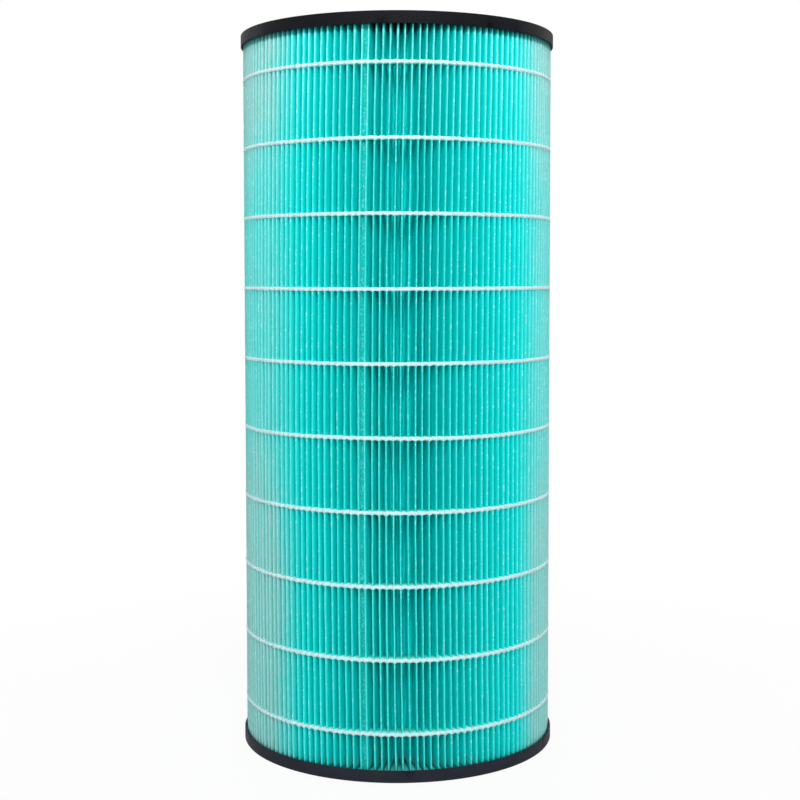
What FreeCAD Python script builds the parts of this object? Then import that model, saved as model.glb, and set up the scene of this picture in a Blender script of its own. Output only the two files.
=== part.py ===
import FreeCAD, Part
import math
import os

# Cylindrical pleated HEPA cartridge. Sizes are in millimetres.
# It stands on its closed end at Z = 0, its axis is Z, and its front faces -Y.

# Whole cartridge
filter_height = 459.0        # outside face to outside face of the two end caps

# Pleated sheet
tip_radius = 100.0           # circle through the outer folds
pleat_depth = 28.0           # outer folds to inner folds
sheet_thickness = 0.6        # of the filter paper
bead_sides = 29              # straight stretches in one turn of a glue bead
pleats_per_side = 5          # pleats that each stretch runs across

# Joint where the two ends of the sheet meet, in one valley left of the front
seam_turn = 12.5             # degrees from the front to the valley
cut_end = 0.94               # how far down the wall each end is cut, 0 at the tip and 1 at the valley
bond_top = 0.12              # how far down the wall the glue of the joint begins

# End caps, moulded in plastic
cap_wall = 1.1               # rims
cap_web = 1.5                # flat part
cap_rim_height = 7.5         # outside face to the edge of the outer rim
cap_fit = 0.4                # rim to the folds
cap_edge = 0.7               # chamfer round the outer corner
lip_wall = 1.6               # inner rim of the open cap
lip_height = 6.0             # outside face to the edge of the inner rim
potting_depth = 2.0          # glue between a cap and the ends of the pleats

# Glue beads that hold the pleats apart
bead_count = 10              # on each side of the sheet
bead_end_gap = 29.25         # outside face of a cap to the middle of the nearest bead
bead_width = 2.4             # along the axis
bead_proud = 0.45            # how far the crown stands off the folds

# Seal on the open cap
gasket_height = 2.5
gasket_width = 7.0
gasket_margin = 1.5          # edge of the opening to the gasket

# What follows from the sizes above
pleats = bead_sides * pleats_per_side
pitch = 360.0 / pleats
seam_angle = 270.0 - seam_turn
fold_radius = tip_radius - pleat_depth
rim_inside = tip_radius + cap_fit
cap_radius = rim_inside + cap_wall
lip_outside = fold_radius - cap_fit
opening_radius = lip_outside - lip_wall
media_bottom = cap_web + potting_depth
media_top = filter_height - media_bottom


def polar(radius, degrees, z=0.0):
    angle = math.radians(degrees)
    return FreeCAD.Vector(radius * math.cos(angle), radius * math.sin(angle), z)


def between(start, end, share):
    return start + (end - start) * share


def prism(outline, bottom, top):
    """A closed outline in the XY plane, raised from one height to another."""
    wire = Part.makePolygon(outline + outline[:1])
    wire.translate(FreeCAD.Vector(0, 0, bottom))
    return Part.Face(wire).extrude(FreeCAD.Vector(0, 0, top - bottom))


def turned(profile):
    """A closed profile of (radius, height) points, turned round the axis."""
    points = [FreeCAD.Vector(radius, 0, z) for radius, z in profile]
    face = Part.Face(Part.makePolygon(points + points[:1]))
    return face.revolve(FreeCAD.Vector(0, 0, 0), FreeCAD.Vector(0, 0, 1), 360)


def flat_sided_ring(profile, first_corner):
    """A closed profile of (distance to a flat, height) points, carried round in straight stretches."""
    half_side = 180.0 / bead_sides
    rings = []
    for distance, z in profile:
        corner_radius = distance / math.cos(math.radians(half_side))
        turns = [first_corner + 2 * half_side * i for i in range(bead_sides)]
        rings.append([polar(corner_radius, turn, z) for turn in turns])
    faces = []
    for j, ring in enumerate(rings):
        other = rings[(j + 1) % len(rings)]
        for i in range(bead_sides):
            n = (i + 1) % bead_sides
            faces.append(Part.Face(Part.makePolygon([ring[i], ring[n], other[n], other[i], ring[i]])))
    solid = Part.makeSolid(Part.makeShell(faces))
    if solid.Volume < 0:
        solid.reverse()
    return solid


# Corners of one pleat. A fold is the sheet doubled back on itself, so it is two sheets wide.
def tip_corner(pleat, side):
    half_width = math.degrees(sheet_thickness / tip_radius)
    return polar(tip_radius, seam_angle + (pleat + 0.5) * pitch + side * half_width)


def tip_inside(pleat):
    return polar(tip_radius - 2 * sheet_thickness, seam_angle + (pleat + 0.5) * pitch)


def valley_floor(pleat):
    return polar(fold_radius + 2 * sheet_thickness, seam_angle + pleat * pitch)


def inner_corner(pleat, side):
    half_width = math.degrees(sheet_thickness / fold_radius)
    return polar(fold_radius, seam_angle + pleat * pitch + side * half_width)


def pleated_media():
    """One sheet folded all the way round, from its cut end at the seam back to the seam."""
    outside = [between(tip_corner(0, -1), valley_floor(0), cut_end)]
    inside = [between(tip_inside(0), inner_corner(0, 1), cut_end)]
    for pleat in range(pleats):
        outside += [tip_corner(pleat, -1), tip_corner(pleat, 1)]
        inside.append(tip_inside(pleat))
        if pleat < pleats - 1:
            outside.append(valley_floor(pleat + 1))
            inside += [inner_corner(pleat + 1, -1), inner_corner(pleat + 1, 1)]
    last = pleats - 1
    outside.append(between(tip_corner(last, 1), valley_floor(pleats), cut_end))
    inside.append(between(tip_inside(last), inner_corner(pleats, -1), cut_end))
    return prism(outside + inside[::-1], media_bottom, media_top)


def seam_bond():
    """Glue between the two end walls of the sheet."""
    first = tip_corner(0, -1)
    last = tip_corner(pleats - 1, 1)
    floor = valley_floor(0)
    outline = [
        between(first, floor, bond_top),
        between(last, floor, bond_top),
        between(last, floor, cut_end),
        between(first, floor, cut_end),
    ]
    return prism(outline, media_bottom, media_top)


def bead_height(number):
    spacing = (filter_height - 2 * bead_end_gap) / (bead_count - 1)
    return bead_end_gap + number * spacing


def outer_bead(number):
    """Bead across the outer folds: flat on the folds, with a low crown."""
    z = bead_height(number)
    profile = [
        (tip_radius, z - bead_width / 2),
        (tip_radius + bead_proud, z),
        (tip_radius, z + bead_width / 2),
    ]
    return flat_sided_ring(profile, seam_angle)


def inner_bead(number):
    """Bead across the inner folds: each stretch bears on the two outermost folds that it crosses."""
    z = bead_height(number)
    reach = math.radians((pleats_per_side - 1) / 2 * pitch) + sheet_thickness / fold_radius
    seat = fold_radius * math.cos(reach)
    profile = [
        (seat, z - bead_width / 2),
        (seat, z + bead_width / 2),
        (seat - bead_proud, z),
    ]
    return flat_sided_ring(profile, seam_angle - pitch / 2)


def closed_cap():
    return turned([
        (0, 0),
        (cap_radius - cap_edge, 0),
        (cap_radius, cap_edge),
        (cap_radius, cap_rim_height),
        (rim_inside, cap_rim_height),
        (rim_inside, cap_web),
        (0, cap_web),
    ])


def open_cap():
    """Channel section: outer rim, web and a lip round the opening."""
    top = filter_height
    return turned([
        (opening_radius, top),
        (opening_radius, top - lip_height),
        (lip_outside, top - lip_height),
        (lip_outside, top - cap_web),
        (rim_inside, top - cap_web),
        (rim_inside, top - cap_rim_height),
        (cap_radius, top - cap_rim_height),
        (cap_radius, top - cap_edge),
        (cap_radius - cap_edge, top),
    ])


def closed_end_potting():
    """Glue poured over the whole floor of the closed cap, flat-sided like the beads."""
    turns = [seam_angle + 360.0 / bead_sides * i for i in range(bead_sides)]
    return prism([polar(rim_inside, turn) for turn in turns], cap_web, media_bottom)


def open_end_potting():
    """Glue in the channel of the open cap."""
    outer_flat = rim_inside * math.cos(math.pi / bead_sides)
    floor = filter_height - cap_web
    profile = [(lip_outside, media_top), (outer_flat, media_top), (outer_flat, floor), (lip_outside, floor)]
    return flat_sided_ring(profile, seam_angle)


def gasket():
    inside = opening_radius + gasket_margin
    outside = inside + gasket_width
    top = filter_height + gasket_height
    return turned([(inside, filter_height), (outside, filter_height), (outside, top), (inside, top)])


def build():
    pieces = {
        "pleated_media": pleated_media(),
        "seam_bond": seam_bond(),
        "closed_cap": closed_cap(),
        "closed_end_potting": closed_end_potting(),
        "open_cap": open_cap(),
        "open_end_potting": open_end_potting(),
        "gasket": gasket(),
    }
    for number in range(bead_count):
        pieces[f"outer_bead_{number + 1:02d}"] = outer_bead(number)
        pieces[f"inner_bead_{number + 1:02d}"] = inner_bead(number)
    return pieces


os.makedirs("parts", exist_ok=True)
for name, shape in build().items():
    shape.exportStep(f"parts/{name}.step")
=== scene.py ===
import math
import bpy
import numpy as np
from mathutils import Matrix, Vector


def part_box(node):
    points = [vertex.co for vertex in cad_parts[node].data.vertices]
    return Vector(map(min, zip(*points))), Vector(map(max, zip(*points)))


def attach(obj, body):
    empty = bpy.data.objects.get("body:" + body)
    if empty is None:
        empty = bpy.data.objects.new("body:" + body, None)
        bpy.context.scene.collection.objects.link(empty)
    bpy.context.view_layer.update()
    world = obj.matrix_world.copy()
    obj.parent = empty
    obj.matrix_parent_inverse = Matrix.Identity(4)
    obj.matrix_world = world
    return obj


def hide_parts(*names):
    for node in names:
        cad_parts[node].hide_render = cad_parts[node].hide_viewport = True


# Looks of the pleated HEPA cartridge, in metres.
# It stands on its closed cap, its axis is Z and its front faces -Y.
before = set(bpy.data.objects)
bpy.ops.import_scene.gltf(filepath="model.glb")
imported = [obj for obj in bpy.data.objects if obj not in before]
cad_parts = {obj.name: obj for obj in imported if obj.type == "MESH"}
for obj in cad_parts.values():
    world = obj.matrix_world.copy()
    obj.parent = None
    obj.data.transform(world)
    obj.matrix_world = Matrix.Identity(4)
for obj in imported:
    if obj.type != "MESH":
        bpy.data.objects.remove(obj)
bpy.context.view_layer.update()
mm = 0.001
frontTurn = 270          # degrees round the axis from +X


def reach(node):
    # least and greatest distance of a node from the axis
    points = np.array([v.co[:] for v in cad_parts[node].data.vertices])
    spread = np.hypot(points[:, 0], points[:, 1])
    return float(spread.min()), float(spread.max())


def heightsOf(node):
    low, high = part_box(node)
    return low.z, high.z


def middleOf(node):
    return sum(heightsOf(node)) / 2


foldRadius, tipRadius = reach("pleated_media")
openingRadius, capRadius = reach("open_cap")
gasketInside, gasketOutside = reach("gasket")
pottingRadius = reach("closed_end_potting")[1]
paperLow, paperHigh = heightsOf("pleated_media")
rimHeight = heightsOf("closed_cap")[1]
capTop = heightsOf("open_cap")[1]
gasketTop = heightsOf("gasket")[1]
beadNumbers = range(1, 11)


# Small tools

def srgb(red, green, blue):
    # a colour given from 0 to 255, as the linear colour a socket takes
    def linear(value):
        value = value / 255
        return value / 12.92 if value < 0.04045 else ((value + 0.055) / 1.055) ** 2.4
    return (linear(red), linear(green), linear(blue), 1.0)


def makePiece(name, points, faces, material, nodes):
    mesh = bpy.data.meshes.new(name)
    mesh.from_pydata(np.asarray(points).reshape(-1, 3).tolist(), [], faces)
    mesh.update()
    mesh.polygons.foreach_set("use_smooth", [True] * len(mesh.polygons))
    mesh.materials.append(material)
    piece = bpy.data.objects.new(name, mesh)
    bpy.context.scene.collection.objects.link(piece)
    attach(piece, "root")
    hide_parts(*nodes)


def gridFaces(rows, columns, closeRows=False):
    # quads over rings of points stored one after the other
    faces = []
    for i in range(rows if closeRows else rows - 1):
        a, b = i * columns, ((i + 1) % rows) * columns
        for j in range(columns):
            k = (j + 1) % columns
            faces.append((a + j, a + k, b + k, b + j))
    return faces


def turnedOver(faces):
    return [face[::-1] for face in faces]


def spot(radius, turn):
    return np.stack([radius * np.cos(turn), radius * np.sin(turn)], -1)


def smoothNoise(rng, count, waves, strength):
    # a closed row of values that wanders slowly, for things that run round the cartridge
    turn = np.linspace(0, 2 * np.pi, count, endpoint=False)
    total = np.zeros(count)
    for wave in waves:
        total += rng.normal() * np.sin(wave * turn + rng.uniform(0, 2 * np.pi))
    return strength * total / math.sqrt(len(waves))


# Tools for nodes: a value is a plain one or what another node puts out

def addNode(tree, kind, **settings):
    node = tree.nodes.new(kind)
    for key, value in settings.items():
        setattr(node, key, value)
    return node


def feed(tree, socket, value):
    if isinstance(value, bpy.types.NodeSocket):
        tree.links.new(value, socket)
    else:
        socket.default_value = value


def feedAll(tree, node, values):
    for label, value in values.items():
        feed(tree, node.inputs[label], value)


def addMath(tree, operation, *values, clamp=False):
    node = addNode(tree, "ShaderNodeMath", operation=operation, use_clamp=clamp)
    for socket, value in zip(node.inputs, values):
        feed(tree, socket, value)
    return node.outputs[0]


def multiply(tree, first, *others):
    for other in others:
        first = addMath(tree, "MULTIPLY", first, other)
    return first


def opposite(tree, share):
    return addMath(tree, "SUBTRACT", 1.0, share)


def addContrast(tree, value, gain, base):
    # gain times the value plus base, kept from 0 to 1
    return addMath(tree, "MULTIPLY_ADD", value, gain, base, clamp=True)


def addRamp(tree, value, low, high, floor=0.0):
    # rises smoothly from the floor at low to 1 at high
    node = addNode(tree, "ShaderNodeMapRange", interpolation_type="SMOOTHSTEP")
    feedAll(tree, node, {"Value": value, "From Min": low, "From Max": high, "To Min": floor})
    return node.outputs[0]


def blendColors(tree, share, first, second):
    node = addNode(tree, "ShaderNodeMix", data_type="RGBA")
    # its sockets for colours come after those for numbers and vectors
    for index, value in ((0, share), (6, first), (7, second)):
        feed(tree, node.inputs[index], value)
    return node.outputs[2]


def addBump(tree, shader, height, distance, strength):
    bump = addNode(tree, "ShaderNodeBump")
    feedAll(tree, bump, {"Height": height, "Distance": distance, "Strength": strength})
    tree.links.new(bump.outputs[0], shader.inputs["Normal"])


def mixShaders(tree, share, first, second):
    node = addNode(tree, "ShaderNodeMixShader")
    for socket, value in zip(node.inputs, (share, first.outputs[0], second.outputs[0])):
        tree.links.new(value, socket)
    return node


def newMaterial(name):
    material = bpy.data.materials.new(name)
    material.use_nodes = True
    tree = material.node_tree
    return material, tree, tree.nodes["Principled BSDF"]


def useGroup(tree, group, **values):
    node = addNode(tree, "ShaderNodeGroup", node_tree=group)
    feedAll(tree, node, values)
    return node.outputs[0]


# Shared effects as node groups

def newGroup(name, output, **inputs):
    # number inputs with their usual values, and one number that comes out
    group = bpy.data.node_groups.new(name, "ShaderNodeTree")
    for label, value in inputs.items():
        socket = group.interface.new_socket(
            label, in_out="INPUT", socket_type="NodeSocketFloat")
        socket.default_value = value
    group.interface.new_socket(output, in_out="OUTPUT", socket_type="NodeSocketFloat")
    start = group.nodes.new("NodeGroupInput")
    end = group.nodes.new("NodeGroupOutput")
    return group, start.outputs, end


def splitPlace(tree):
    # X, Y and Z of the point on the cartridge
    place = addNode(tree, "ShaderNodeTexCoord")
    apart = addNode(tree, "ShaderNodeSeparateXYZ")
    tree.links.new(place.outputs["Object"], apart.inputs[0])
    return apart.outputs


def makeStretchedNoise():
    # noise that can be drawn out along the height, from 0 to 1
    group, start, end = newGroup("stretchedNoise", "Value", Scale=800.0, Stretch=1.0, Detail=2.0)
    place = splitPlace(group)
    height = addMath(group, "DIVIDE", place["Z"], start["Stretch"])
    joined = addNode(group, "ShaderNodeCombineXYZ")
    feedAll(group, joined, {"X": place["X"], "Y": place["Y"], "Z": height})
    noise = addNode(group, "ShaderNodeTexNoise")
    feedAll(group, noise, {
        "Vector": joined.outputs[0],
        "Scale": start["Scale"],
        "Detail": start["Detail"],
        "Roughness": 0.6,
    })
    feed(group, end.inputs["Value"], noise.outputs["Fac"])
    return group


def makeDepthMask():
    # 0 outside the first distance from the axis, 1 inside the second
    group, start, end = newGroup("depthMask", "Mask", From=0.1, To=0.09)
    place = addNode(group, "ShaderNodeTexCoord")
    flat = addNode(group, "ShaderNodeVectorMath", operation="MULTIPLY")
    flat.inputs[1].default_value = (1, 1, 0)
    group.links.new(place.outputs["Object"], flat.inputs[0])
    length = addNode(group, "ShaderNodeVectorMath", operation="LENGTH")
    group.links.new(flat.outputs[0], length.inputs[0])
    mask = addRamp(group, length.outputs["Value"], start["From"], start["To"])
    feed(group, end.inputs["Mask"], mask)
    return group


def makeSpecks():
    # scattered small spots, 0 or 1 with soft edges
    group, start, end = newGroup(
        "specks", "Mask", Scale=900.0, Stretch=1.0, Threshold=0.62, Softness=0.06)
    noise = useGroup(group, stretchedNoise,
                     Scale=start["Scale"], Stretch=start["Stretch"], Detail=3.0)
    full = addMath(group, "ADD", start["Threshold"], start["Softness"])
    feed(group, end.inputs["Mask"], addRamp(group, noise, start["Threshold"], full))
    return group


def makeEndBand():
    # 1 below the low height and above the high one
    group, start, end = newGroup("endBand", "Mask", Low=0.01, High=0.45, Soft=0.002)
    place = splitPlace(group)
    below = addMath(group, "SUBTRACT", start["Low"], place["Z"])
    above = addMath(group, "SUBTRACT", place["Z"], start["High"])
    nearest = addMath(group, "MAXIMUM", below, above)
    feed(group, end.inputs["Mask"], addRamp(group, nearest, 0.0, start["Soft"]))
    return group


def makeTurnBand():
    # 1 near one line that runs up the cartridge and bows as its folds do
    group, start, end = newGroup(
        "turnBand", "Mask", Turn=0.0, Width=0.02, Soft=0.2, Bow=0.0, Rest=0.5)
    place = splitPlace(group)
    turn = addMath(group, "ARCTAN2", place["Y"], place["X"])
    height = addMath(group, "SUBTRACT", place["Z"], paperLow)
    share = addMath(group, "DIVIDE", height, paperHigh - paperLow)
    above = addMath(group, "SUBTRACT", share, start["Rest"])
    part = addMath(group, "DIVIDE", above, opposite(group, start["Rest"]))
    square = addMath(group, "POWER", addMath(group, "ABSOLUTE", part), 2.0)
    bowed = addMath(group, "MULTIPLY_ADD", square, start["Bow"], start["Turn"])
    # turns that differ by whole circles are the same line
    halfTurn = multiply(group, addMath(group, "SUBTRACT", turn, bowed), 0.5)
    chord = multiply(group, addMath(group, "SINE", halfTurn), 2.0)
    distance = addMath(group, "ABSOLUTE", chord)
    full = multiply(group, start["Width"], opposite(group, start["Soft"]))
    feed(group, end.inputs["Mask"], addRamp(group, distance, start["Width"], full))
    return group


stretchedNoise = makeStretchedNoise()
depthMask = makeDepthMask()
specks = makeSpecks()
endBand = makeEndBand()
turnBand = makeTurnBand()
print("node groups ready")


def belowTips(tree, depths):
    # 0 at the outer folds, 1 further in
    begin, full = depths
    return useGroup(tree, depthMask, From=tipRadius - begin, To=tipRadius - full)


# Filter paper

paper = {
    "pleats": 145,
    "sheet": 0.6 * mm,
    "seamTurn": 12.5,          # degrees left of the front
    "cutEnd": 0.94,            # share of the wall where each end of the sheet is cut
    "gather": 0.11,            # degrees, unevenness of the pitch
    "seamPinch": 0.16,         # degrees, how much the seam draws its two tips together
    "bowTop": 1.9,             # degrees, turn of the folds at the top
    "bowRest": 0.4,            # share of the height where they stand straight
    "wander": 0.08 * mm,       # how far a fold strays between two beads
    "wallBow": 0.08 * mm,
    "tipInset": 0.12 * mm,
    "tipStray": 0.03 * mm,
    "capPinch": 0.2 * mm,      # tips drawn in where they enter a cap
    "pinchReach": 2.5 * mm,
    "flare": 0.5,              # widening of some tips under the upper cap
    "flareBelow": 3 * mm,      # from the cap's rim to where it is widest
    "flareReach": 5 * mm,
    "tipRounding": ((0.2 * mm, 0.42), (1.0 * mm, 0.86)),   # depth, half width in sheets
    "wallPoints": (0.07, 0.45),                            # shares of the wall
    "footRows": (0, 5, 9, 16),            # mm above the lower end
    "headRows": (17, 11, 8, 5.5, 0),      # mm below the upper end
    "heldByCap": 10,                      # mm from an end where no fold strays
    "rowsBetween": 2,                     # two beads
    "seed": 7,
    # colours
    "tip": srgb(66, 250, 247),            # worn fibres on the folds, with a painted highlight
    # painted light from above on the tips at the top
    "tipAtTop": srgb(116, 252, 250),
    "wall": srgb(0, 251, 249),
    # painted shade on the outer part of the walls
    "shadedOuterWall": srgb(0, 226, 223),           # the outer part of the walls
    "paintedSheen": srgb(168, 216, 212),        # painted sheen, pale, where the folds are seen at a low angle at the sides
    "dull": srgb(0, 222, 219),
    "fuzz": srgb(186, 250, 247),          # loose pale fibres
    "seam": srgb(110, 240, 236),          # walls that the seam glue has touched
    "capShade": srgb(0, 144, 138),           # painted shade under the rims of the caps
    "smear": srgb(140, 178, 176),         # pale glue on the walls above the closed cap
    # depths below the tips, where a mask begins and where it is full
    "tipDepth": (0.15 * mm, 1.1 * mm),
    "wornAndLitDepth": (0.2 * mm, 2.2 * mm),
    "outerShadeDepth": (4 * mm, 8 * mm),
    "sheenDepth": (1.5 * mm, 4 * mm),
    "smearDepth": (2.5 * mm, 7 * mm),
    # bands at the two ends
    # painted light towards both ends: light from the floor at the bottom, light from above at the
    # top
    "litEnds": dict(Low=0.24, High=0.33, Soft=0.14),
    "paleTop": dict(Low=-1.0, High=0.36, Soft=0.07),
    "capShadeEnds": dict(Low=paperLow + 4.5 * mm, High=paperHigh - 7.8 * mm, Soft=2.0 * mm),
    "smearEnd": dict(Low=paperLow + 13 * mm, High=1.0, Soft=12 * mm),
    # bands that run up it: turn and half width in degrees
    # the two bands of painted sheen, left and right of the front
    "sheenBands": ((203, 32), (345, 27)),
    "sheenSoft": 0.7,
    "seamWidth": 1.2,                     # half width in half pleats
    "seamSoft": 0.2,
    # patterns
    "perFold": dict(Scale=240.0, Stretch=60.0, Detail=2.0),
    "patchy": dict(Scale=26.0, Stretch=2.0, Detail=3.0),
    "fine": dict(Scale=900.0, Stretch=1.2, Detail=3.0),
    "mottle": dict(Scale=420.0, Stretch=1.6, Detail=4.0),
    "combed": dict(Scale=600.0, Stretch=2.0, Detail=3.0),
    "fibre": dict(Scale=1500.0, Stretch=0.6, Detail=4.0),
    "fuzzSpecks": dict(Scale=760.0, Stretch=1.6, Threshold=0.54, Softness=0.12),
    "seamGrit": dict(Scale=700.0, Stretch=1.0, Threshold=0.45, Softness=0.15),
    "smearBlots": dict(Scale=150.0, Stretch=1.5, Threshold=0.42, Softness=0.2),
    # gain and base of a pattern or band
    # painted light towards the ends, on the worn folds
    "endsLitOnFolds": (0.35, 0.65),
    "perFoldWearAndLight": (2.0, -0.25),
    "sheenAtLitEnds": (0.75, 0.45),
    "sheenPatchy": (1.4, 0.3),
    "sheenFine": (1.2, 0.4),
    "mottleContrast": (2.4, -0.8),
    "seamGritWear": (0.4, 0.05),
    "combedContrast": (2.0, -0.4),
    # strengths
    "sheenMost": 0.9,
    "dullness": 0.6,
    "fuzziness": 0.7,
    "capShadeStrength": 0.75,
    "roughness": 0.9,
    "gloss": 0.08,
    "coat": 0.6,                          # fibres on the folds catch light at a low angle
    "coatRoughness": 0.42,
    "bump": (0.12 * mm, 0.6),             # height and strength
}


def makePaper():
    material, tree, shader = newMaterial("tealPaper")

    # worn folds with a painted highlight, painted lighter towards both ends and paler at the top,
    # on walls painted in shade further out
    wallShare = belowTips(tree, paper["tipDepth"])
    onTips = opposite(tree, wallShare)
    # painted light, stronger towards both ends
    endsLit = useGroup(tree, endBand, **paper["litEnds"])
    endsLitShare = addMath(tree, "MULTIPLY_ADD", endsLit, *paper["endsLitOnFolds"])
    perFold = useGroup(tree, stretchedNoise, **paper["perFold"])
    perFoldShare = addContrast(tree, perFold, *paper["perFoldWearAndLight"])
    # the painted highlight spreads from the fold some way down its walls
    nearFold = opposite(tree, belowTips(tree, paper["wornAndLitDepth"]))
    wornAndLit = multiply(tree, nearFold, endsLitShare, perFoldShare)
    # painted light from above makes the tips paler at the top
    atTop = useGroup(tree, endBand, **paper["paleTop"])
    tipColor = blendColors(tree, atTop, paper["tip"], paper["tipAtTop"])
    # painted shade on the walls' outer part; the deep walls keep their own colour
    deepWallShare = belowTips(tree, paper["outerShadeDepth"])
    wallColor = blendColors(tree, deepWallShare, paper["shadedOuterWall"], paper["wall"])
    color = blendColors(tree, wornAndLit, wallColor, tipColor)

    # painted sheen in two bands up the sides, where the folds are seen at a low angle, stronger
    # towards the ends
    nearTips = opposite(tree, belowTips(tree, paper["sheenDepth"]))
    bands = [useGroup(tree, turnBand, Turn=math.radians(turn), Width=math.radians(width),
                      Soft=paper["sheenSoft"])
             for turn, width in paper["sheenBands"]]
    patchy = useGroup(tree, stretchedNoise, **paper["patchy"])
    fine = useGroup(tree, stretchedNoise, **paper["fine"])
    paintedSheen = multiply(tree, addMath(tree, "MAXIMUM", *bands), nearTips)
    for share, levels in ((endsLit, "sheenAtLitEnds"), (patchy, "sheenPatchy"),
                          (fine, "sheenFine")):
        paintedSheen = multiply(tree, paintedSheen, addMath(tree, "MULTIPLY_ADD", share, *paper[levels]))
    paintedSheen = addMath(tree, "MINIMUM", paintedSheen, paper["sheenMost"])

    mottle = useGroup(tree, stretchedNoise, **paper["mottle"])
    mottled = addContrast(tree, mottle, *paper["mottleContrast"])
    dull = multiply(tree, mottled, wallShare, paper["dullness"])
    fuzzSpecks = useGroup(tree, specks, **paper["fuzzSpecks"])
    fuzz = multiply(tree, fuzzSpecks, onTips, paper["fuzziness"])

    # glue at the seam and above the closed cap, and painted shade under the caps' rims
    touched = useGroup(tree, turnBand, Turn=math.radians(frontTurn - paper["seamTurn"]),
                       Width=paper["seamWidth"] * math.pi / paper["pleats"],
                       Soft=paper["seamSoft"],
                       Bow=math.radians(paper["bowTop"]), Rest=paper["bowRest"])
    grit = useGroup(tree, specks, **paper["seamGrit"])
    gritShare = addMath(tree, "MULTIPLY_ADD", grit, *paper["seamGritWear"])
    seamShare = multiply(tree, touched, gritShare)
    # painted shade in a band under each cap's rim
    stainAndShade = useGroup(tree, endBand, **paper["capShadeEnds"])
    capShade = multiply(tree, stainAndShade, paper["capShadeStrength"])
    smeared = useGroup(tree, endBand, **paper["smearEnd"])
    deep = belowTips(tree, paper["smearDepth"])
    blots = useGroup(tree, specks, **paper["smearBlots"])
    smear = multiply(tree, smeared, deep, blots)
    for share, name in ((paintedSheen, "paintedSheen"), (dull, "dull"), (fuzz, "fuzz"),
                        (seamShare, "seam"), (capShade, "capShade"), (smear, "smear")):
        color = blendColors(tree, share, color, paper[name])

    combed = useGroup(tree, stretchedNoise, **paper["combed"])
    combedShare = addContrast(tree, combed, *paper["combedContrast"])
    feedAll(tree, shader, {
        "Base Color": color,
        "Roughness": paper["roughness"],
        "Specular IOR Level": paper["gloss"],
        "Coat Weight": multiply(tree, combedShare, onTips, paper["coat"]),
        "Coat Roughness": paper["coatRoughness"],
    })
    fibre = useGroup(tree, stretchedNoise, **paper["fibre"])
    addBump(tree, shader, fibre, *paper["bump"])
    return material


def rowHeights():
    # rows of points: one at each bead, some between, and closer ones at the caps
    beads = [middleOf(f"outer_bead_{number:02d}") for number in beadNumbers]
    heights = [paperLow + rise * mm for rise in paper["footRows"]]
    pinned = [rise < paper["heldByCap"] for rise in paper["footRows"]]
    steps = paper["rowsBetween"] + 1
    for low, high in zip(beads, beads[1:]):
        heights += [low + (high - low) * step / steps for step in range(steps)]
        pinned += [step == 0 for step in range(steps)]
    heights.append(beads[-1])
    pinned.append(True)
    heights += [paperHigh - drop * mm for drop in paper["headRows"]]
    pinned += [drop < paper["heldByCap"] for drop in paper["headRows"]]
    return np.array(heights), np.array(pinned)


def bowAt(z):
    share = (z - paperLow) / (paperHigh - paperLow)
    part = (share - paper["bowRest"]) / (1 - paper["bowRest"])
    return np.radians(paper["bowTop"]) * part ** 2


def pleatTurns():
    # angles of the tips and of the valleys before the bow, gathered a little unevenly
    rng = np.random.default_rng(paper["seed"])
    count = paper["pleats"]
    pitch = 2 * np.pi / count
    start = np.radians(frontTurn - paper["seamTurn"])
    gather = np.radians(paper["gather"])
    tips = start + (np.arange(count) + 0.5) * pitch
    tips += gather * np.clip(rng.normal(size=count), -2, 2)
    pinch = np.radians(paper["seamPinch"])
    tips[0] -= pinch
    tips[-1] += pinch
    valleys = start + np.arange(count + 1) * pitch
    valleys[1:-1] += gather * np.clip(rng.normal(size=count - 1), -2, 2)
    return tips, valleys, rng


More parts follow.
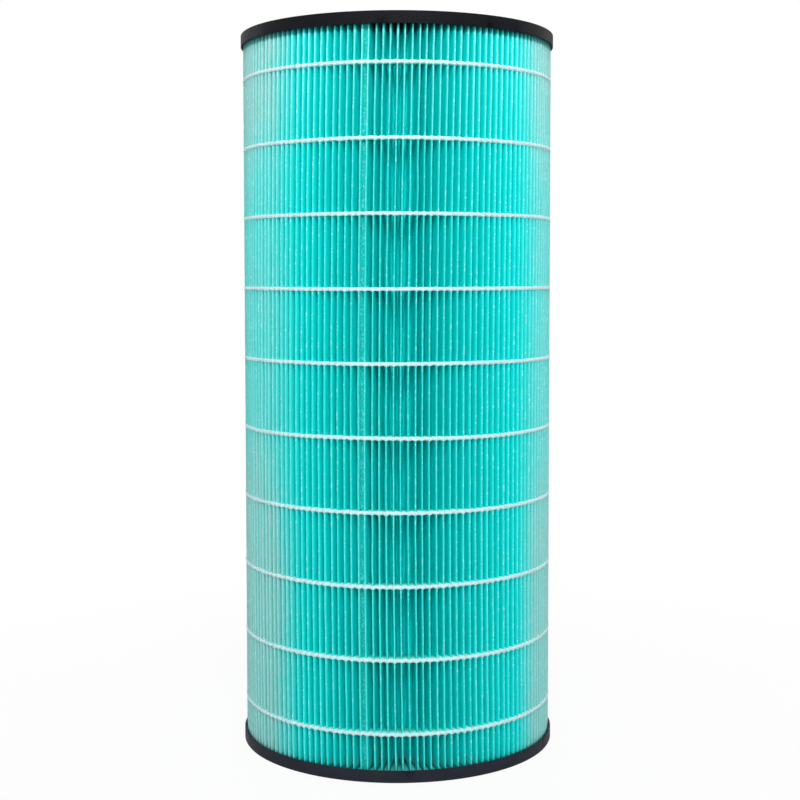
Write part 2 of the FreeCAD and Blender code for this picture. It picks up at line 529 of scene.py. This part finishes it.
def buildPaper(material):
    heights, pinned = rowHeights()
    tips, valleys, rng = pleatTurns()
    rows, count = len(heights), paper["pleats"]
    sheet = paper["sheet"]
    bow = bowAt(heights)[:, None]
    free = np.where(pinned, 0.0, 1.0)[:, None]

    # how each fold strays, row by row
    stray = free * paper["wander"] * rng.normal(size=(rows, count))
    tipTurn = tips[None, :] + bow + stray / tipRadius
    valleyTurn = valleys[None, :] + bow
    inset = paper["tipInset"] * rng.random(count)[None, :]
    inset = inset + paper["tipStray"] * free * rng.normal(size=(rows, count))
    toCap = np.minimum(heights - rimHeight, capTop - rimHeight - heights)
    pinch = paper["capPinch"] * np.exp(-np.clip(toCap, 0, None) / paper["pinchReach"])
    tipAt = tipRadius - np.clip(inset, 0, None) - pinch[:, None]
    toFlare = np.abs(capTop - rimHeight - paper["flareBelow"] - heights)
    underCap = np.exp(-toFlare / paper["flareReach"])[:, None]
    widen = 1 + paper["flare"] * underCap * np.clip(rng.normal(size=count), 0, 2)[None, :]

    outward = spot(1.0, tipTurn)
    along = np.stack([-np.sin(tipTurn), np.cos(tipTurn)], -1)

    def onTip(depth, side):
        return outward * (tipAt - depth)[..., None] + along * (side * widen)[..., None]

    top = onTip(0.0, 0.0)
    valley = spot(foldRadius + 2 * sheet, valleyTurn)
    bowLeft = free * paper["wallBow"] * rng.normal(size=(rows, count))
    bowRight = free * paper["wallBow"] * rng.normal(size=(rows, count))

    def wall(shoulder, floor, share, bend):
        bent = along * (bend * 4 * share * (1 - share))[..., None]
        return shoulder + (floor - shoulder) * share + bent

    # the two walls of each pleat, from the tip down, outside and inside the sheet
    outer, inner = {}, {}
    for name, side, floor, bend in (("left", -1, valley[:, :-1], bowLeft),
                                    ("right", 1, valley[:, 1:], bowRight)):
        besideTip, shoulder = [onTip(depth, side * width * sheet)
                               for depth, width in paper["tipRounding"]]
        outer[name] = [besideTip, shoulder]
        outer[name] += [wall(shoulder, floor, share, bend) for share in paper["wallPoints"]]
        inner[name] = outer[name][3] - side * sheet * along
        outer[name + "End"] = wall(shoulder, floor, paper["cutEnd"], bend)
    inTip = onTip(2 * sheet, 0.0)
    foldOut = spot(1.0, valleyTurn)
    foldAlong = np.stack([-np.sin(valleyTurn), np.cos(valleyTurn)], -1)
    foldLeft = foldOut * (foldRadius + 0.5 * sheet) - foldAlong * sheet
    foldMid = foldOut * foldRadius
    foldRight = foldOut * (foldRadius + 0.5 * sheet) + foldAlong * sheet

    # from one cut end round to the other
    outside = [outer["leftEnd"][:, 0]]
    inside = [inTip[:, 0] + (foldRight[:, 0] - inTip[:, 0]) * paper["cutEnd"]]
    for k in range(count):
        outside += [outer["left"][i][:, k] for i in (3, 2, 1, 0)]
        outside.append(top[:, k])
        outside += [outer["right"][i][:, k] for i in (0, 1, 2, 3)]
        inside += [inner["left"][:, k], inTip[:, k], inner["right"][:, k]]
        if k < count - 1:
            outside.append(valley[:, k + 1])
            inside += [foldLeft[:, k + 1], foldMid[:, k + 1], foldRight[:, k + 1]]
    outside.append(outer["rightEnd"][:, -1])
    inside.append(inTip[:, -1] + (foldLeft[:, -1] - inTip[:, -1]) * paper["cutEnd"])

    loop = np.stack(outside + inside[::-1], 1)
    loopCount = loop.shape[1]
    points = np.concatenate([loop, np.repeat(heights[:, None, None], loopCount, 1)], -1)
    faces = gridFaces(rows, loopCount) + sheetEnds(count, loopCount, rows)
    makePiece("pleatedPaper", points, faces, material, ["pleated_media"])


def sheetEnds(count, loopCount, rows):
    # the upper and lower edge of the sheet, pleat by pleat
    faces = []
    last = (rows - 1) * loopCount
    outsidePoints, insidePoints = 10, 6     # in one pleat
    for k in range(count):
        o = outsidePoints * k + 1                      # its first wall point on the outside
        i = loopCount - 1 - (insidePoints * k + 1)     # and on the inside, counted back
        strip = [(o - 1, o, i, i + 1), (o, o + 1, i - 1, i)]
        strip += [(o + n, o + n + 1, i - 1) for n in range(1, 7)]
        strip += [(o + 7, o + 8, i - 2, i - 1), (o + 8, o + 9, i - 3, i - 2)]
        if k < count - 1:
            strip += [(o + 9, i - 4, i - 3), (o + 9, i - 5, i - 4)]
        faces += turnedOver(strip)
        faces += [tuple(last + v for v in face) for face in strip]
    return faces


# Glue beads

glue = {
    "crown": srgb(209, 244, 247),
    "inValley": srgb(84, 240, 220),       # thin glue with the paper showing through, and painted teal bounce light deep in the valleys
    "valleyDepth": (1.0 * mm, 7 * mm),    # below the tips, where it begins and is full
    "thin": dict(Scale=420.0, Stretch=0.5, Detail=2.0),
    "thinContrast": (0.4, -0.2),
    "roughness": 0.55,
    "gloss": 0.3,
    "scatter": 0.9,
    "scatterReach": 1.2 * mm,
    "ripple": dict(Scale=700.0, Stretch=1.0, Detail=2.0),
    "bump": (0.1 * mm, 0.4),
}


def makeGlue():
    material, tree, shader = newMaterial("whiteGlue")
    # deeper in the valleys the glue takes painted teal bounce light
    inValley = belowTips(tree, glue["valleyDepth"])
    color = blendColors(tree, inValley, glue["crown"], glue["inValley"])
    thin = useGroup(tree, stretchedNoise, **glue["thin"])
    thinShare = addContrast(tree, thin, *glue["thinContrast"])
    feedAll(tree, shader, {
        "Base Color": blendColors(tree, thinShare, color, glue["inValley"]),
        "Roughness": glue["roughness"],
        "Specular IOR Level": glue["gloss"],
        "Subsurface Weight": glue["scatter"],
        "Subsurface Radius": (1, 1, 1),
        "Subsurface Scale": glue["scatterReach"],
    })
    addBump(tree, shader, useGroup(tree, stretchedNoise, **glue["ripple"]), *glue["bump"])
    return material


outerBead = {
    "halfHeight": 1.15 * mm,
    "sunk": 0.15 * mm,                                   # below the fold circle
    "along": (0.0, 0.2, 0.4, 0.56, 0.74, 1.0),           # tip to mouth of the valley
    "crown": (0.45, 0.44, 0.41, 0.32, 0.1, -0.2),        # mm off the folds
    "root": (-0.4, -0.5, -8.0, -11.0, -12.5, -13.0),
    "swell": (1.14, 1.12, 1.04, 0.95, 0.86, 0.8),        # share of the height
    "unevenHeight": 0.1,
    "stray": 0.25 * mm,
    "seed": 31,
}
innerBead = {
    "halfHeight": 1.1 * mm,
    "sunk": 0.0,
    "along": (0.0, 0.38, 0.7, 1.0),
    "crown": (0.45, 0.38, -0.2, -1.2),
    "root": (-0.4, -0.5, -10.0, -12.0),
    "swell": (1.1, 1.06, 1.0, 0.96),
    "unevenHeight": 0.12,
    "stray": 0.25 * mm,
    "seed": 57,
}
strand = {
    "slowWaves": (1, 2, 3, 5),                # in one turn, as all waves here
    "quickWaves": range(40, 160, 9),
    "quickStray": 0.07 * mm,
    "thickWaves": range(30, 240, 13),
    "thickLimits": (0.7, 1.35),
    "notchSpread": 0.3,
    "shoulder": (0.35 * mm, 0.2),             # below the crown, but at most this share of the way
    "cheek": (1.0 * mm, 0.5),
    "shoulderHeight": 0.75,                   # shares of half the height
    "rootHeight": 0.85,
    "upperSide": (0.3, 0.7),                  # shares of its own and of an even height
}


def beadPoints(values, centres, radius, outwards, z, number):
    # one strand across the folds: a lump over each fold and a notch in each gap
    rng = np.random.default_rng(values["seed"] + number)
    count = len(centres)
    steps = len(values["along"])
    after = np.roll(centres, -1)
    after[-1] += 2 * np.pi
    gap = (after - centres) / 2
    before = np.roll(gap, 1)
    turns, crowns, roots, swell = [], [], [], []
    dip = 1 + strand["notchSpread"] * np.clip(rng.normal(size=count), -2, 2)
    for k in range(count):
        for j in list(range(2 - steps, 0)) + list(range(steps)):
            side, i, notch = (before[k], -j, dip[k - 1]) if j < 0 else (gap[k], j, dip[k])
            turns.append(centres[k] + math.copysign(values["along"][i], j) * side)
            crown = values["crown"][i]
            crowns.append(crown * notch if crown < 0 else crown)
            roots.append(values["root"][i])
            swell.append(values["swell"][i])
    turns = np.array(turns)
    crowns = np.array(crowns) * mm
    roots = np.array(roots) * mm
    total = len(turns)
    slow = smoothNoise(rng, total, strand["slowWaves"], values["stray"])
    quick = smoothNoise(rng, total, strand["quickWaves"], strand["quickStray"])
    middle = z + slow + quick
    thick = 1 + smoothNoise(rng, total, strand["thickWaves"], values["unevenHeight"])
    thick = np.clip(thick, *strand["thickLimits"])
    half = values["halfHeight"] * np.array(swell) * thick
    shoulder, cheek = [crowns - np.minimum(depth, share * (crowns - roots))
                       for depth, share in (strand["shoulder"], strand["cheek"])]
    shoulderLift = strand["shoulderHeight"] * half
    rootLift = strand["rootHeight"] * half
    # the strand was laid from above, so its upper side is more even than its lower one
    own, even = strand["upperSide"]
    upper = own + even * (values["halfHeight"] * thick) / half
    section = [
        (crowns, 0 * half), (shoulder, shoulderLift * upper), (cheek, half * upper),
        (roots, rootLift * upper), (roots, -rootLift),
        (cheek, -half), (shoulder, -shoulderLift),
    ]
    rings = []
    for depth, lift in section:
        ring = spot(radius + outwards * depth, turns)
        rings.append(np.concatenate([ring, (middle + lift)[:, None]], -1))
    return np.stack(rings, 1)


def buildBeads(material):
    tips, valleys = pleatTurns()[:2]
    sides = (
        ("outer", outerBead, tips, tipRadius, 1),
        ("inner", innerBead, valleys[:-1], foldRadius, -1),
    )
    for number in beadNumbers:
        for side, values, folds, circle, outwards in sides:
            node = f"{side}_bead_{number:02d}"
            z = middleOf(node)
            radius = circle - outwards * values["sunk"]
            points = beadPoints(values, folds + bowAt(z), radius, outwards, z, number)
            faces = gridFaces(points.shape[0], points.shape[1], closeRows=True)
            if outwards < 0:
                faces = turnedOver(faces)
            makePiece(f"{side}Bead{number:02d}", points, faces, material, [node])


# Glue in the seam, with fibres of the paper stuck in it

seam = {
    "top": 0.12,          # share of the wall where the glue begins
    "hollow": 0.03,       # how much deeper it lies in its middle
    "waist": 0.78,        # share of the wall of the points halfway down
    "rows": 220,
    "uneven": 0.015,      # share of the wall's depth, above the waist
    "seed": 73,
    "body": srgb(0, 204, 198),
    "fibres": srgb(110, 226, 220),
    "damp": srgb(0, 176, 168),
    "grit": dict(Scale=800.0, Stretch=1.2, Threshold=0.5, Softness=0.12),
    "dampness": dict(Scale=300.0, Stretch=2.0, Detail=3.0),
    "dampContrast": (1.6, -0.6),
    "roughness": 0.8,
    "gloss": 0.2,
    "bump": (0.3 * mm, 0.6),
}


def makeSeamGlue():
    material, tree, shader = newMaterial("fibrousGlue")
    grit = useGroup(tree, specks, **seam["grit"])
    color = blendColors(tree, grit, seam["body"], seam["fibres"])
    damp = useGroup(tree, stretchedNoise, **seam["dampness"])
    dampShare = addContrast(tree, damp, *seam["dampContrast"])
    feedAll(tree, shader, {
        "Base Color": blendColors(tree, dampShare, color, seam["damp"]),
        "Roughness": seam["roughness"],
        "Specular IOR Level": seam["gloss"],
    })
    addBump(tree, shader, grit, *seam["bump"])
    return material


def buildSeam(material):
    # rough glue between the two end walls of the sheet
    rng = np.random.default_rng(seam["seed"])
    rows = seam["rows"]
    heights = np.linspace(paperLow, paperHigh, rows)
    tips, valleys = pleatTurns()[:2]
    bow = bowAt(heights)
    floor = spot(foldRadius + 2 * paper["sheet"], valleys[0] + bow)
    right = spot(tipRadius, tips[0] + bow - paper["sheet"] / tipRadius)
    left = spot(tipRadius, tips[-1] + bow + paper["sheet"] / tipRadius)
    middle = (left + right) / 2
    top, waist, end = seam["top"], seam["waist"], paper["cutEnd"]
    rings = []
    for side, share in ((left, top), (middle, top + seam["hollow"]), (right, top),
                        (right, waist), (right, end), (left, end), (left, waist)):
        ring = side + (floor - side) * share
        if share < waist:
            uneven = seam["uneven"] * rng.normal(size=(rows, 1))
            ring = ring + (floor - ring) * uneven
        rings.append(np.concatenate([ring, heights[:, None]], 1))
    points = np.stack(rings, 1)
    columns = len(rings)
    ends = [tuple(range(columns)), tuple(range((rows - 1) * columns, rows * columns))[::-1]]
    faces = turnedOver(gridFaces(rows, columns)) + ends
    makePiece("seamBond", points, faces, material, ["seam_bond"])


# Things turned round the axis: caps, potting glue and seal

turnedWaves = {
    "outwards": (2, 3, 5, 8, 13, 21, 34),
    "upwards": (2, 4, 7, 11, 17, 29),
}


def turnedPiece(name, profile, material, slotName, nodes, segments, rough, seed, roughRows):
    # profile: (radius, height) in order; radius 0 becomes one point on the axis
    rng = np.random.default_rng(seed)
    turn = np.linspace(0, 2 * np.pi, segments, endpoint=False)
    points, rings = [], []
    for index, (radius, z) in enumerate(profile):
        if radius == 0:
            rings.append([len(points)])
            points.append((0.0, 0.0, z))
            continue
        shift, rise = 0, 0
        if index in roughRows:
            shift = smoothNoise(rng, segments, turnedWaves["outwards"], rough)
            rise = smoothNoise(rng, segments, turnedWaves["upwards"], rough)
        # the unevenness of outside faces only goes inwards
        if radius > tipRadius:
            shift = -np.abs(shift)
        if z >= capTop:
            rise = -np.abs(rise)
        ring = np.concatenate([spot(radius + shift, turn), (z + 0 * turn + rise)[:, None]], -1)
        rings.append(list(range(len(points), len(points) + segments)))
        points += [tuple(p) for p in ring]
    faces = []
    for a, b in zip(rings, rings[1:] + rings[:1]):
        if len(a) == 1 and len(b) == 1:
            continue
        for j in range(segments):
            k = (j + 1) % segments
            if len(a) == 1:
                faces.append((a[0], b[j], b[k]))
            elif len(b) == 1:
                faces.append((a[j], b[0], a[k]))
            else:
                faces.append((a[j], b[j], b[k], a[k]))
    makePiece(name, points, faces, material, nodes)


def rounded(corner, before, after, radius, steps=4):
    # a corner of a profile turned into a small arc
    corner, before, after = Vector(corner), Vector(before), Vector(after)
    first = (before - corner).normalized()
    second = (after - corner).normalized()
    half = first.angle(second) / 2
    reachOut = radius / math.tan(half)
    centre = corner + (first + second).normalized() * (radius / math.sin(half))
    start = corner + first * reachOut - centre
    end = corner + second * reachOut - centre
    points = []
    for step in range(steps + 1):
        share = step / steps
        arm = (start * (1 - share) + end * share).normalized() * radius
        points.append(tuple(centre + arm))
    return points


def roundedProfile(corners, radii):
    # every corner with a radius above 0 is rounded
    points = []
    for index, corner in enumerate(corners):
        if radii[index] == 0:
            points.append(corner)
            continue
        before, after = corners[index - 1], corners[(index + 1) % len(corners)]
        points += rounded(corner, before, after, radii[index])
    return points


caps = {
    "wall": 1.1 * mm,
    "web": 1.5 * mm,
    "lipWall": 1.6 * mm,
    "lipHeight": 6.0 * mm,
    "edge": 0.55 * mm,            # radii of the corners
    "rimEdge": 0.25 * mm,
    "lipEdge": 0.5 * mm,
    "innerEdge": 0.3 * mm,
    "closed": dict(segments=288, rough=0.05 * mm, seed=11, roughRows=range(6, 17)),
    "open": dict(segments=288, rough=0.05 * mm, seed=12, roughRows=range(25, 35)),
    "body": srgb(43, 45, 54),
    "upperCapShaded": srgb(22, 24, 28),     # the open cap: the same plastic, painted darker in shade
    "scuffed": srgb(66, 66, 70),
    "scuffs": dict(Scale=260.0, Stretch=0.4, Threshold=0.68, Softness=0.08),
    "scuffStrength": 0.5,
    "cloudy": dict(Scale=60.0, Stretch=1.0, Detail=4.0),
    "roughness": (0.48, 0.2),          # least, and how much the clouds add
    "gloss": 0.05,
    "grain": dict(Scale=2200.0, Stretch=1.0, Detail=2.0),
    "bump": (0.05 * mm, 0.35),
}


def makePlastic():
    material, tree, shader = newMaterial("blackPlastic")
    # painted shade: the open cap is darker than the closed one
    upper = useGroup(tree, endBand, Low=-1.0, High=capTop / 2, Soft=0.01)
    body = blendColors(tree, upper, caps["body"], caps["upperCapShaded"])
    scuffs = multiply(tree, useGroup(tree, specks, **caps["scuffs"]), caps["scuffStrength"])
    cloudy = useGroup(tree, stretchedNoise, **caps["cloudy"])
    least, more = caps["roughness"]
    feedAll(tree, shader, {
        "Base Color": blendColors(tree, scuffs, body, caps["scuffed"]),
        "Roughness": addMath(tree, "MULTIPLY_ADD", cloudy, more, least),
        "Specular IOR Level": caps["gloss"],
    })
    addBump(tree, shader, useGroup(tree, stretchedNoise, **caps["grain"]), *caps["bump"])
    return material


def buildCaps(material):
    inside = capRadius - caps["wall"]
    web, edge, rimEdge, innerEdge = (caps[key] for key in ("web", "edge", "rimEdge", "innerEdge"))
    corners = [
        (0, 0), (capRadius, 0), (capRadius, rimHeight), (inside, rimHeight),
        (inside, web), (0, web),
    ]
    profile = roundedProfile(corners, [0, edge, rimEdge, rimEdge, innerEdge, 0])
    turnedPiece("closedCap", profile, material, "cap_plastic", ["closed_cap"], **caps["closed"])
    lipOutside = openingRadius + caps["lipWall"]
    lipLow = capTop - caps["lipHeight"]
    corners = [
        (openingRadius, capTop), (openingRadius, lipLow),
        (lipOutside, lipLow), (lipOutside, capTop - web),
        (inside, capTop - web), (inside, capTop - rimHeight),
        (capRadius, capTop - rimHeight), (capRadius, capTop),
    ]
    radii = [caps["lipEdge"]] + [innerEdge] * 4 + [rimEdge] * 2 + [edge]
    profile = roundedProfile(corners, radii)
    turnedPiece("openCap", profile, material, "cap_plastic", ["open_cap"], **caps["open"])


potting = {
    "rimGap": 0.1 * mm,
    # drawn up among the pleats: mm inwards from the edge, mm up
    "drawnUp": ((0, 1.0), (2.5, 1.3), (5.5, 1.5), (9.5, 1.7), (14, 1.8), (20, 1.6), (26, 0.8)),
    # at the inner folds: mm inwards from them, mm up
    "innerSlope": ((0, 0.35), (1.2, 0.05)),
    "poolRadii": (66, 58, 48, 36, 24, 12, 0),      # mm, rings of the flat middle
    "poolSunk": 0.05 * mm,
    "upperRings": (80 * mm, 90 * mm),
    "closed": dict(segments=180, rough=0.09 * mm, seed=21, roughRows=range(2, 17)),
    "open": dict(segments=180, rough=0.08 * mm, seed=22, roughRows=range(1, 5)),
    "body": srgb(204, 212, 210),
    "stainAndShade": srgb(120, 186, 180),
    "amongPleats": srgb(96, 214, 208),             # painted teal bounce light from the paper walls
    "bounceEdge": 2 * mm,                             # each side of the inner folds
    "flow": dict(Scale=70.0, Stretch=1.0, Detail=4.0),
    "flowContrast": (1.6, -0.5),
    "roughness": 0.4,
    "ripple": dict(Scale=120.0, Stretch=1.0, Detail=3.0),
    "bump": (0.6 * mm, 0.4),
}


def makePotting():
    material, tree, shader = newMaterial("pottingGlue")
    flow = useGroup(tree, stretchedNoise, **potting["flow"])
    flowShare = addContrast(tree, flow, *potting["flowContrast"])
    color = blendColors(tree, flowShare, potting["body"], potting["stainAndShade"])
    # painted teal bounce light on the glue among the pleats
    clear = useGroup(tree, depthMask,
                     From=foldRadius + potting["bounceEdge"], To=foldRadius - potting["bounceEdge"])
    feedAll(tree, shader, {
        "Base Color": blendColors(tree, clear, potting["amongPleats"], color),
        "Roughness": potting["roughness"],
    })
    ripple = useGroup(tree, stretchedNoise, **potting["ripple"])
    addBump(tree, shader, ripple, *potting["bump"])
    return material


def buildPotting(material):
    floor, ceiling = caps["web"], capTop - caps["web"]
    edge = pottingRadius - potting["rimGap"]
    profile = [(0, floor), (edge, floor)]
    profile += [(edge - depth * mm, paperLow + rise * mm) for depth, rise in potting["drawnUp"]]
    profile += [(foldRadius - depth * mm, paperLow + rise * mm)
                for depth, rise in potting["innerSlope"]]
    profile += [(radius * mm, paperLow - potting["poolSunk"]) for radius in potting["poolRadii"]]
    turnedPiece("closedEndPotting", profile, material, "potting_glue", ["closed_end_potting"],
                **potting["closed"])
    lipOutside = openingRadius + caps["lipWall"]
    edgeLow = paperHigh - potting["rimGap"]
    profile = [(lipOutside, ceiling), (lipOutside, edgeLow)]
    profile += [(radius, paperHigh) for radius in potting["upperRings"]]
    profile += [(edge, edgeLow), (edge, ceiling)]
    turnedPiece("openEndPotting", profile, material, "potting_glue", ["open_end_potting"],
                **potting["open"])


seal = {
    "edge": 0.7 * mm,
    "ring": dict(segments=240, rough=0.04 * mm, seed=41, roughRows=range(2, 12)),
    "body": srgb(52, 52, 54),
    "pore": srgb(20, 20, 21),
    "pores": dict(Scale=1300.0, Stretch=1.0, Threshold=0.55, Softness=0.05),
    "roughness": 0.85,
    "gloss": 0.25,
    "bump": (0.2 * mm, 0.8),
}


def makeRubber():
    material, tree, shader = newMaterial("foamRubber")
    pores = useGroup(tree, specks, **seal["pores"])
    feedAll(tree, shader, {
        "Base Color": blendColors(tree, pores, seal["body"], seal["pore"]),
        "Roughness": seal["roughness"],
        "Specular IOR Level": seal["gloss"],
    })
    addBump(tree, shader, opposite(tree, pores), *seal["bump"])
    return material


def buildSeal(material):
    corners = [
        (gasketInside, capTop), (gasketOutside, capTop),
        (gasketOutside, gasketTop), (gasketInside, gasketTop),
    ]
    profile = roundedProfile(corners, [0, 0, seal["edge"], seal["edge"]])
    turnedPiece("sealRing", profile, material, "gasket_rubber", ["gasket"], **seal["ring"])


buildPaper(makePaper())
print("paper folded")
buildBeads(makeGlue())
buildSeam(makeSeamGlue())
print("glue beads and seam laid")
buildCaps(makePlastic())
buildPotting(makePotting())
buildSeal(makeRubber())
print("caps, potting and seal fitted")


# Floor, light and camera

studio = {
    "floorSize": 12.0,
    "floorDrop": 0.2 * mm,
    "floorColor": (0.86, 0.86, 0.86, 1),     # that lights the cartridge
    "seenColor": (0.96, 0.96, 0.96, 1),      # that the camera sees, with the shadow on it
    "whiteFloor": 0.91,        # how much of what it sees is plain white near the cartridge
    "whiteOnly": (0.14, 0.6),  # distances between which the rest goes, so that no edge shows
    "world": 0.27,
}


def seenByCamera(tree):
    path = addNode(tree, "ShaderNodeLightPath")
    seen = addMath(tree, "ADD", path.outputs["Is Camera Ray"], path.outputs["Is Glossy Ray"])
    return addMath(tree, "ADD", seen, path.outputs["Is Transmission Ray"], clamp=True)


def buildFloor():
    size = studio["floorSize"] / 2
    z = -studio["floorDrop"]
    mesh = bpy.data.meshes.new("floor")
    corners = [(-size, -size, z), (size, -size, z), (size, size, z), (-size, size, z)]
    mesh.from_pydata(corners, [], [(0, 1, 2, 3)])
    floor = bpy.data.objects.new("floor", mesh)
    bpy.context.scene.collection.objects.link(floor)
    material = bpy.data.materials.new("paleFloor")
    material.use_nodes = True
    tree = material.node_tree
    tree.nodes.clear()
    plain = addNode(tree, "ShaderNodeBsdfDiffuse")
    plain.inputs["Color"].default_value = studio["floorColor"]
    seen = addNode(tree, "ShaderNodeBsdfDiffuse")
    seen.inputs["Color"].default_value = studio["seenColor"]
    white = addNode(tree, "ShaderNodeEmission")
    place = addNode(tree, "ShaderNodeTexCoord")
    length = addNode(tree, "ShaderNodeVectorMath", operation="LENGTH")
    tree.links.new(place.outputs["Object"], length.inputs[0])
    whiteness = addRamp(tree, length.outputs["Value"], *studio["whiteOnly"],
                        floor=studio["whiteFloor"])
    whiter = mixShaders(tree, whiteness, seen, white)
    mixed = mixShaders(tree, seenByCamera(tree), plain, whiter)
    out = addNode(tree, "ShaderNodeOutputMaterial")
    tree.links.new(mixed.outputs[0], out.inputs["Surface"])
    mesh.materials.append(material)


def buildWorld():
    world = bpy.data.worlds.new("studio")
    world.use_nodes = True
    tree = world.node_tree
    tree.nodes.clear()
    light = addNode(tree, "ShaderNodeBackground")
    light.inputs["Strength"].default_value = studio["world"]
    backdrop = addNode(tree, "ShaderNodeBackground")
    for shader in (light, backdrop):
        shader.inputs["Color"].default_value = (1, 1, 1, 1)
    mixed = mixShaders(tree, seenByCamera(tree), light, backdrop)
    out = addNode(tree, "ShaderNodeOutputWorld")
    tree.links.new(mixed.outputs[0], out.inputs["Surface"])
    bpy.context.scene.world = world


lamps = {
    # name: degrees right of the front, degrees up, distance, width, height, watts
    "front": (3, 22, 1.7, 0.5, 0.9, 8.2),
    "frontLeft": (-27, 22, 1.7, 0.5, 0.9, 1.0),
    "frontRight": (30, 22, 1.7, 0.5, 0.9, 0.8),
    "high": (2, 44, 0.95, 0.25, 0.3, 3.6),
    "left": (-126, 18, 1.6, 0.8, 1.1, 4.2),
    "right": (126, 18, 1.6, 0.8, 1.1, 3.2),
    "back": (180, 22, 1.7, 0.8, 0.9, 9.5),
}


def buildLamps():
    aim = Vector((0, 0, capTop / 2))
    for name, (turn, lift, distance, width, height, watts) in lamps.items():
        turn, lift = math.radians(turn), math.radians(lift)
        level = math.cos(lift)
        way = Vector((math.sin(turn) * level, -math.cos(turn) * level, math.sin(lift)))
        data = bpy.data.lights.new(name, "AREA")
        data.shape = "RECTANGLE"
        data.size, data.size_y = width, height
        data.energy = watts
        lamp = bpy.data.objects.new(name, data)
        lamp.location = aim + way * distance
        lamp.rotation_mode = "QUATERNION"
        lamp.rotation_quaternion = way.to_track_quat("Z", "Y")
        bpy.context.scene.collection.objects.link(lamp)


view = {
    "distance": 0.956,
    "height": 0.3025,
    "tilt": 3.0,             # degrees down
    "turn": -0.109,          # degrees
    "roll": -0.06,           # degrees
    "lens": 65.2,
    "sensor": 36,
    "shiftUp": -0.057,       # share of the frame, less than in the photograph
    "clip": (0.01, 100),
}


def buildCamera():
    data = bpy.data.cameras.new("camera")
    data.lens = view["lens"]
    data.sensor_width = view["sensor"]
    data.shift_y = view["shiftUp"]
    data.clip_start, data.clip_end = view["clip"]
    camera = bpy.data.objects.new("camera", data)
    tilt, turn, roll = (math.radians(view[key]) for key in ("tilt", "turn", "roll"))
    facing = Matrix.Rotation(turn, 4, "Z") @ Matrix.Rotation(math.pi / 2 - tilt, 4, "X")
    facing = facing @ Matrix.Rotation(roll, 4, "Z")
    camera.matrix_world = Matrix.Translation((0, -view["distance"], view["height"])) @ facing
    bpy.context.scene.collection.objects.link(camera)
    bpy.context.scene.camera = camera


buildFloor()
buildWorld()
buildLamps()
buildCamera()
bpy.context.scene.view_settings.view_transform = "Standard"
print("studio ready")
